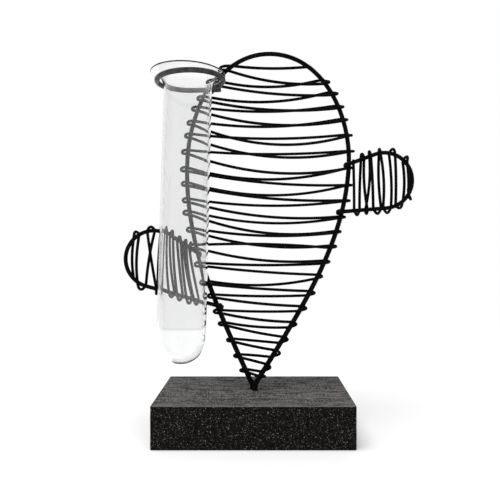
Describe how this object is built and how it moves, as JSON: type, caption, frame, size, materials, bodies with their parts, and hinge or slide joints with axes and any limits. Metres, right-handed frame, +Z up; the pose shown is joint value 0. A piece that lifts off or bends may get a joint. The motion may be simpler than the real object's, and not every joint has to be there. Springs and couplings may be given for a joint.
{
  "type": "hydroponic planter",
  "caption": "Glass tube vase hung by its lip in a rod ring, on an upside-down teardrop of black iron rod with a lobe on each flank, wound by hand with wire, in a stained wooden block.",
  "frame": {"origin": "centre of the block's bottom face", "axes": "+X to the right seen from the front, +Y to the back, +Z up"},
  "size_m": [0.1953, 0.0825, 0.2562],
  "materials": {
    "stained_wood": "dark stain, rough, with pale specks and faint grain",
    "black_rod": "satin black",
    "black_wire": "satin black",
    "ring_iron": "dark grey, slightly glossy",
    "clear_glass": "clear, polished",
    "weld_bead": "satin black, uneven"
  },
  "bodies": {
    "stand": {"base_block": "stained_wood", "teardrop_frame": "black_rod", "left_lobe_rod": "black_rod", "right_lobe_rod": "black_rod", "tube_ring": "ring_iron", "body_winding": "black_wire", "left_lobe_winding": "black_wire", "right_lobe_winding": "black_wire", "foot_weld": "weld_bead", "ring_weld": "weld_bead", "left_upper_weld": "weld_bead", "left_lower_weld": "weld_bead", "right_upper_weld": "weld_bead", "right_lower_weld": "weld_bead"},
    "tube": {"test_tube": "clear_glass"}
  },
  "joints": [
    {"name": "tube_lift", "type": "slide", "parent": "stand", "child": "tube", "axis": [0.0192, 0, 0.9998], "range_m": [0, 0.19]}
  ]
}
